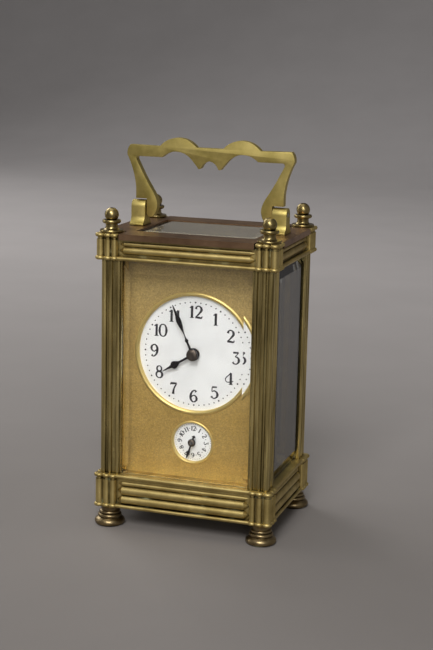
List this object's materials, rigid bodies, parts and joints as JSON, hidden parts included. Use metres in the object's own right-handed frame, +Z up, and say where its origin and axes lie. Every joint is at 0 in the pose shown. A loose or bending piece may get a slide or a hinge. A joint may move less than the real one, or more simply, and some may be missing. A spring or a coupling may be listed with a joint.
{
  "type": "carriage clock",
  "caption": "Brass carriage clock with an alarm: reeded glazed case, ball finials, bail handle, enamel dials, hinged rear door and a geared movement",
  "frame": {"origin": "on the table, under the middle of the case", "axes": "+Z up, +X to the right as seen from the front, +Y to the back: the dial faces -Y"},
  "size_m": [0.075, 0.06, 0.1525],
  "materials": {
    "aged_brass": "polished, aged",
    "copper_brown_plate": "satin, browned",
    "plate_glass": "polished, bevelled",
    "frosted_gilt": "matted, gilt",
    "white_enamel": "glazed",
    "blued_steel": "blued",
    "movement_brass": "grained",
    "polished_steel": "polished",
    "bell_metal": "turned"
  },
  "bodies": {
    "case": {"base_frame": "aged_brass", "cornice_frame": "aged_brass", "feet": "aged_brass", "finials": "aged_brass", "pillar_front_left": "aged_brass", "pillar_front_right": "aged_brass", "pillar_rear_left": "aged_brass", "pillar_rear_right": "aged_brass", "handle_bracket_left": "aged_brass", "handle_bracket_right": "aged_brass", "top_plate": "copper_brown_plate", "front_glass": "plate_glass", "left_glass": "plate_glass", "right_glass": "plate_glass", "top_glass": "plate_glass", "dial_mask": "frosted_gilt", "main_dial": "white_enamel", "alarm_dial": "white_enamel", "front_plate": "movement_brass", "back_plate": "movement_brass", "plate_pillars": "movement_brass", "platform": "movement_brass", "balance_cock": "movement_brass", "handle_pins": "polished_steel", "bell": "bell_metal"},
    "handle_body": {"handle": "aged_brass"},
    "rear_door": {"door_frame": "aged_brass", "door_glass": "plate_glass", "door_pins": "aged_brass", "door_knob": "aged_brass"},
    "minute_hand_body": {"minute_hand": "blued_steel", "cannon_pinion": "polished_steel"},
    "minute_wheel_body": {"minute_wheel": "movement_brass"},
    "hour_hand_body": {"hour_hand": "blued_steel", "hour_wheel": "movement_brass"},
    "alarm_hand_body": {"alarm_hand": "blued_steel", "alarm_shaft": "polished_steel"},
    "contrate_body": {"contrate_arbor": "polished_steel", "contrate_wheel": "movement_brass"},
    "third_body": {"third_arbor": "polished_steel", "third_wheel": "movement_brass"},
    "centre_body": {"centre_arbor": "polished_steel", "centre_wheel": "movement_brass"},
    "barrel_body": {"going_barrel": "movement_brass"},
    "escape_body": {"escape_wheel": "movement_brass"},
    "winding_body": {"going_winding_arbor": "polished_steel", "going_ratchet": "polished_steel"},
    "click_body": {"going_click": "polished_steel"},
    "lever_body": {"lever": "polished_steel"},
    "balance_body": {"balance": "movement_brass"},
    "regulator_body": {"regulator": "polished_steel"},
    "alarm_barrel_body": {"alarm_barrel": "movement_brass"},
    "alarm_winding_body": {"alarm_winding_arbor": "polished_steel"},
    "alarm_escape_body": {"alarm_escape_wheel": "movement_brass"},
    "hammer_body": {"alarm_hammer": "polished_steel"}
  },
  "joints": [
    {"name": "handle_fold", "type": "hinge", "parent": "case", "child": "handle_body", "pos_m": [0, 0, 0.1248], "axis": [1, 0, 0], "range_deg": [-78, 78]},
    {"name": "door_swing", "type": "hinge", "parent": "case", "child": "rear_door", "pos_m": [-0.0244, 0.024, 0.0217], "axis": [0, 0, 1], "range_deg": [0, 95]},
    {"name": "minute_hand_turn", "type": "hinge", "parent": "case", "child": "minute_hand_body", "pos_m": [0, -0.016, 0.0704], "axis": [0, 1, 0], "continuous": true},
    {"name": "minute_wheel_turn", "type": "hinge", "parent": "case", "child": "minute_wheel_body", "pos_m": [0.00408, -0.01, 0.06333], "axis": [0, 1, 0], "continuous": true},
    {"name": "hour_hand_turn", "type": "hinge", "parent": "case", "child": "hour_hand_body", "pos_m": [0, -0.015, 0.0704], "axis": [0, 1, 0], "continuous": true},
    {"name": "alarm_hand_turn", "type": "hinge", "parent": "case", "child": "alarm_hand_body", "pos_m": [0, -0.015, 0.0347], "axis": [0, 1, 0], "continuous": true},
    {"name": "contrate_turn", "type": "hinge", "parent": "case", "child": "contrate_body", "pos_m": [0, 0, 0.0863], "axis": [0, 1, 0], "continuous": true},
    {"name": "third_turn", "type": "hinge", "parent": "case", "child": "third_body", "pos_m": [-0.00866, 0, 0.07999], "axis": [0, 1, 0], "continuous": true},
    {"name": "centre_turn", "type": "hinge", "parent": "case", "child": "centre_body", "pos_m": [0, 0, 0.0704], "axis": [0, 1, 0], "continuous": true},
    {"name": "barrel_turn", "type": "hinge", "parent": "case", "child": "barrel_body", "pos_m": [0.0064, 0, 0.0529], "axis": [0, 1, 0], "continuous": true},
    {"name": "escape_turn", "type": "hinge", "parent": "case", "child": "escape_body", "pos_m": [0, 0, 0.098], "axis": [0, 0, 1], "continuous": true},
    {"name": "winding_turn", "type": "hinge", "parent": "case", "child": "winding_body", "pos_m": [0.0064, 0, 0.0529], "axis": [0, 1, 0], "continuous": true},
    {"name": "click_lift", "type": "hinge", "parent": "case", "child": "click_body", "pos_m": [0.00878, 0.013, 0.06096], "axis": [0, 1, 0], "range_deg": [-10, 0]},
    {"name": "lever_rock", "type": "hinge", "parent": "case", "child": "lever_body", "pos_m": [0.0044, 0.0003, 0.098], "axis": [0, 0, 1], "range_deg": [-2, 2]},
    {"name": "balance_swing", "type": "hinge", "parent": "case", "child": "balance_body", "pos_m": [0.0076, 0.001, 0.102], "axis": [0, 0, 1], "range_deg": [-135, 135], "stiffness_Nm_per_rad": 0.000002},
    {"name": "regulator_turn", "type": "hinge", "parent": "case", "child": "regulator_body", "pos_m": [0.0076, 0.001, 0.1056], "axis": [0, 0, 1], "range_deg": [-25, 25]},
    {"name": "alarm_barrel_turn", "type": "hinge", "parent": "case", "child": "alarm_barrel_body", "pos_m": [-0.0142, 0, 0.0359], "axis": [0, 1, 0], "continuous": true},
    {"name": "alarm_winding_turn", "type": "hinge", "parent": "case", "child": "alarm_winding_body", "pos_m": [-0.0142, 0, 0.0359], "axis": [0, 1, 0], "continuous": true},
    {"name": "alarm_escape_turn", "type": "hinge", "parent": "case", "child": "alarm_escape_body", "pos_m": [-0.00456, 0, 0.0314], "axis": [0, 1, 0], "continuous": true},
    {"name": "hammer_swing", "type": "hinge", "parent": "case", "child": "hammer_body", "pos_m": [0.0034, 0, 0.0265], "axis": [0, 1, 0], "range_deg": [-7, 3]}
  ],
  "couplings": [
    {"joint": "minute_wheel_turn", "follows": "minute_hand_turn", "ratio": -0.33333},
    {"joint": "hour_hand_turn", "follows": "minute_hand_turn", "ratio": 0.083333},
    {"joint": "third_turn", "follows": "contrate_turn", "ratio": -0.125},
    {"joint": "centre_turn", "follows": "contrate_turn", "ratio": 0.016667},
    {"joint": "barrel_turn", "follows": "contrate_turn", "ratio": -0.0020833},
    {"joint": "escape_turn", "follows": "contrate_turn", "ratio": 9},
    {"joint": "alarm_escape_turn", "follows": "alarm_barrel_turn", "ratio": -6}
  ]
}
